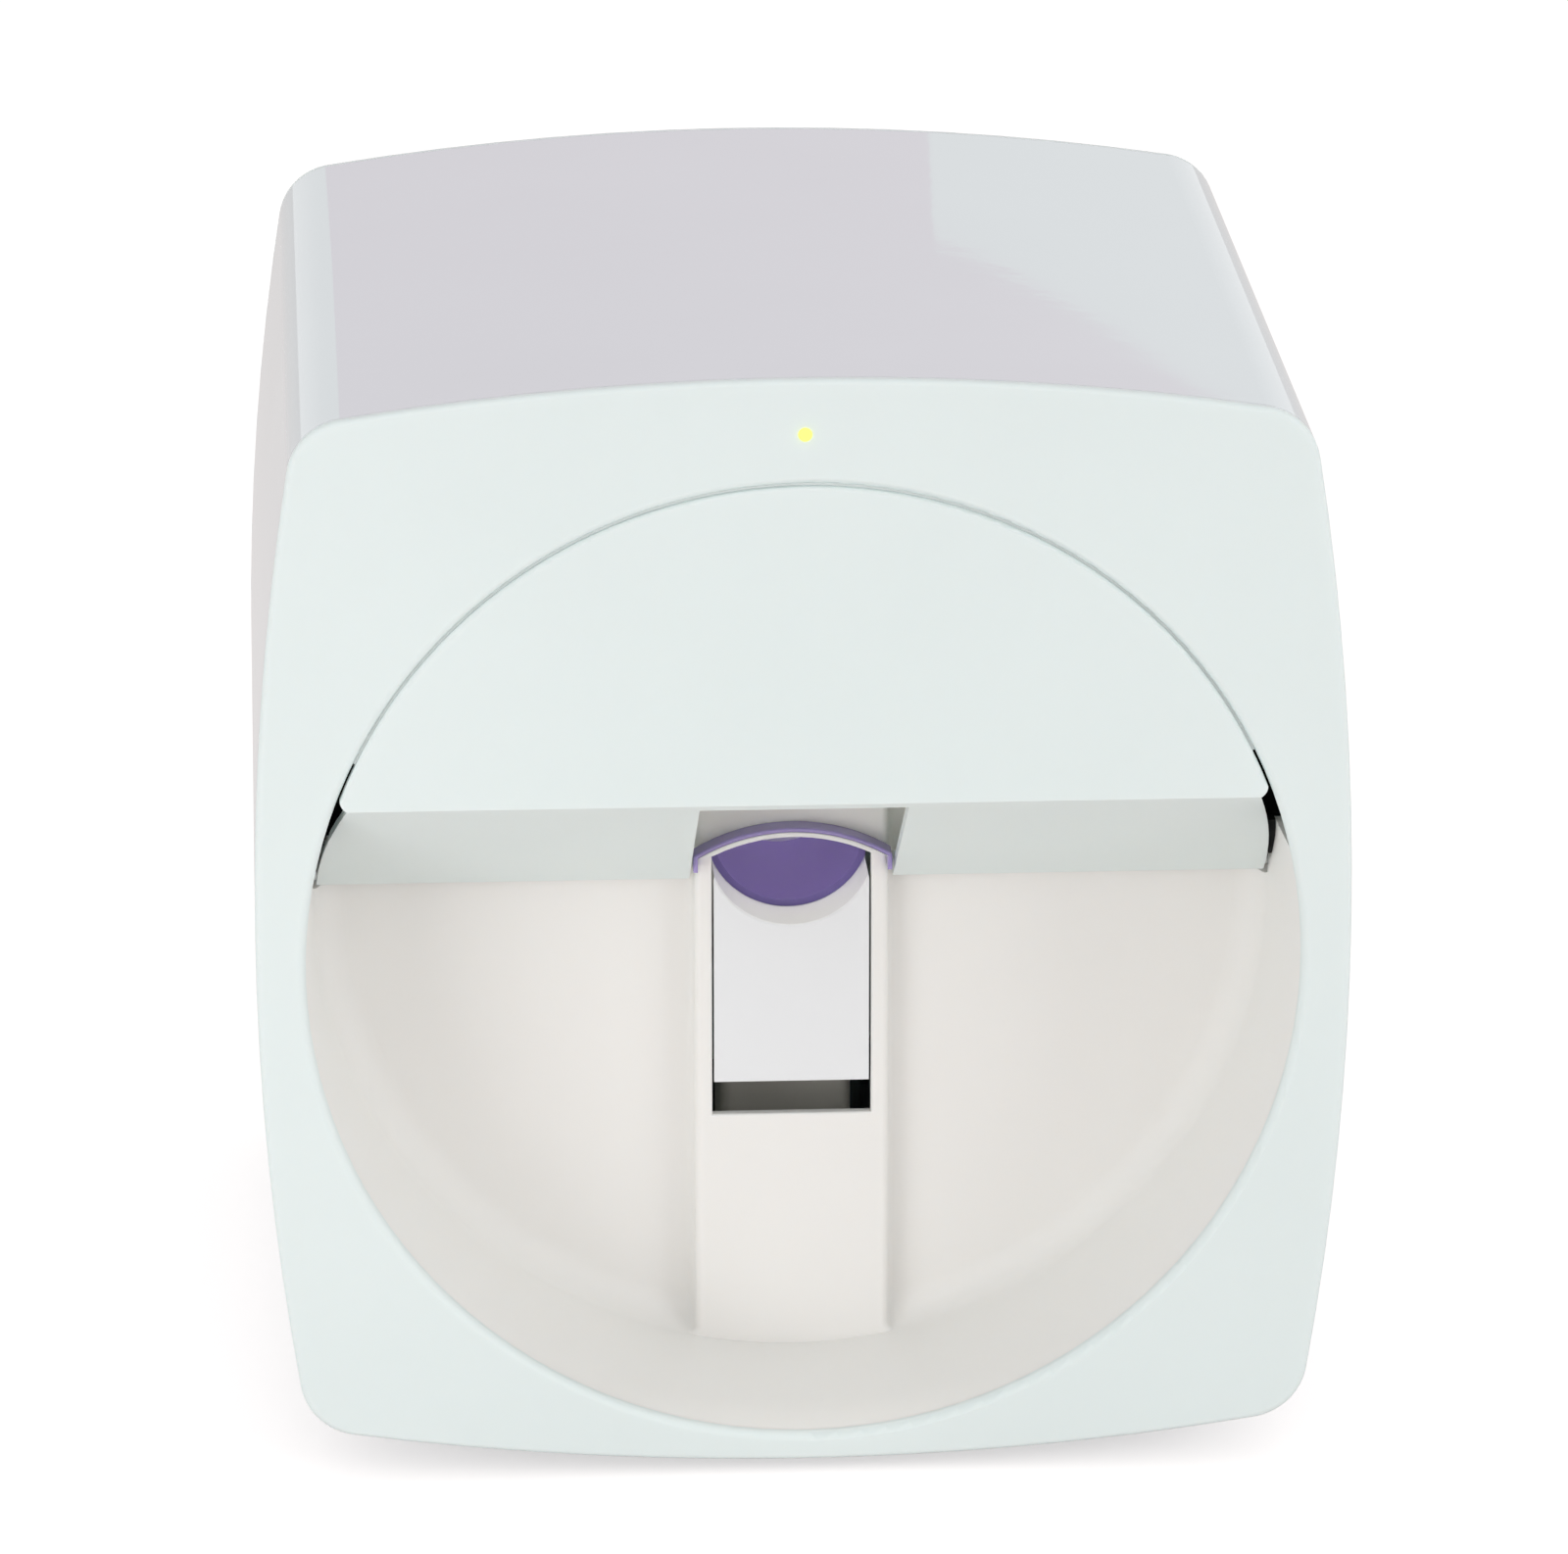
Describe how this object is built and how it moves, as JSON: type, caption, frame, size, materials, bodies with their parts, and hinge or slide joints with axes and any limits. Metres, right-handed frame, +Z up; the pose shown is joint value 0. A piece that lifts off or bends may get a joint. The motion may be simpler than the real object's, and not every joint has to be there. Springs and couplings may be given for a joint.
{
  "type": "nail art printer",
  "caption": "Boxy desktop nail printer with a round hand bowl, a thumb slot under an arched guard, a tilting front cover and an ink cartridge on a gantry inside.",
  "frame": {"origin": "on the table under the middle of the machine, level with the undersides of the feet", "axes": "+Z up, -Y towards the user, +X to the right as the user sees it"},
  "size_m": [0.19, 0.19, 0.198],
  "materials": {
    "shell_gloss": "glossy",
    "bezel_satin": "satin",
    "bowl_satin": "satin",
    "guard_violet": "polished, see-through",
    "light_guide": "clear",
    "board": "solder resist",
    "component": "matte",
    "foot_rubber": "matte",
    "magnet": "nickel plated",
    "steel": "ground",
    "sheet_steel": "galvanised",
    "chassis_grey": "matte",
    "motor": "painted can",
    "bronze": "turned",
    "moving_black": "matte",
    "belt": "matte",
    "alloy": "machined",
    "lens_glass": "coated",
    "lamp_white": "matte",
    "cartridge": "matte",
    "nozzle": "etched",
    "contact": "gilt",
    "tray_white": "satin",
    "pad_violet": "matte silicone",
    "natural_white": "matte",
    "cell_sleeve": "shrink sleeve"
  },
  "bodies": {
    "housing": {"outer_shell": "shell_gloss", "front_bezel": "bezel_satin", "hand_bowl": "bowl_satin", "finger_hood": "guard_violet", "indicator_lens": "light_guide", "indicator_board": "board", "rear_cover": "bezel_satin", "rubber_feet": "foot_rubber", "catch_magnets": "magnet", "base_chassis": "chassis_grey", "frame_left": "sheet_steel", "frame_right": "sheet_steel", "guide_rod_left": "steel", "guide_rod_right": "steel", "y_motor": "motor", "screw_bearing": "bronze", "camera_bracket": "sheet_steel", "camera_module": "component", "camera_lens": "lens_glass", "ring_light": "lamp_white", "tray_guide": "natural_white", "tray_spring": "steel", "main_board": "board", "board_parts": "component", "wireless_card": "alloy", "battery_cells": "cell_sleeve", "battery_holder": "chassis_grey", "dc_inlet": "component", "power_switch": "component", "rear_screws": "steel", "bowl_screws": "steel", "chassis_screws": "steel", "frame_screws": "steel"},
    "cover": {"front_cover": "bezel_satin", "hinge_pins": "steel", "cover_magnets": "magnet"},
    "tray": {"finger_tray": "tray_white", "finger_pad": "pad_violet"},
    "stage": {"stage_block_left": "moving_black", "stage_block_right": "moving_black", "rod_bushes": "bronze", "cross_rod_lower": "steel", "cross_rod_upper": "steel", "lead_nut": "bronze", "x_motor": "motor", "idler_pin": "steel", "cross_belt": "belt"},
    "carriage": {"carriage": "moving_black", "cross_bushes": "bronze", "ink_cartridge": "cartridge", "nozzle_plate": "nozzle", "cartridge_contacts": "contact", "latch_pin": "steel"},
    "lead_screw": {"lead_screw": "steel"},
    "drive_pulley": {"drive_pulley": "alloy"},
    "idler_pulley": {"idler_pulley": "alloy"},
    "latch": {"cartridge_latch": "natural_white"},
    "button": {"power_button": "bezel_satin"}
  },
  "joints": [
    {"name": "cover_hinge", "type": "hinge", "parent": "housing", "child": "cover", "pos_m": [0, -0.0506, 0.0978], "axis": [1, 0, 0], "range_deg": [0, 60]},
    {"name": "tray_lift", "type": "slide", "parent": "housing", "child": "tray", "axis": [0, 0, 1], "range_m": [-0.005, 0], "stiffness_N_per_m": 150, "springref_m": 0.004, "deforming": ["tray_spring"]},
    {"name": "y_travel", "type": "slide", "parent": "housing", "child": "stage", "axis": [0, -1, 0], "range_m": [0, 0.046]},
    {"name": "screw_turn", "type": "hinge", "parent": "housing", "child": "lead_screw", "pos_m": [0.06, 0, 0.106], "axis": [0, 1, 0], "range_deg": [0, 2071]},
    {"name": "x_travel", "type": "slide", "parent": "stage", "child": "carriage", "axis": [1, 0, 0], "range_m": [-0.02, 0.02]},
    {"name": "drive_pulley_turn", "type": "hinge", "parent": "stage", "child": "drive_pulley", "pos_m": [-0.06, 0.0787, 0.156], "axis": [0, 1, 0], "range_deg": [-209, 209]},
    {"name": "idler_pulley_turn", "type": "hinge", "parent": "stage", "child": "idler_pulley", "pos_m": [0.06, 0.0787, 0.156], "axis": [0, 1, 0], "range_deg": [-209, 209]},
    {"name": "latch_hinge", "type": "hinge", "parent": "carriage", "child": "latch", "pos_m": [0, 0.003, 0.124], "axis": [1, 0, 0], "range_deg": [0, 40]},
    {"name": "button_press", "type": "slide", "parent": "housing", "child": "button", "axis": [0, -1, 0], "range_m": [0, 0.0012], "stiffness_N_per_m": 300, "springref_m": -0.002}
  ],
  "couplings": [
    {"joint": "screw_turn", "follows": "y_travel", "rad_per_m": 785.4},
    {"joint": "drive_pulley_turn", "follows": "x_travel", "rad_per_m": -181.82},
    {"joint": "idler_pulley_turn", "follows": "x_travel", "rad_per_m": -181.82}
  ]
}
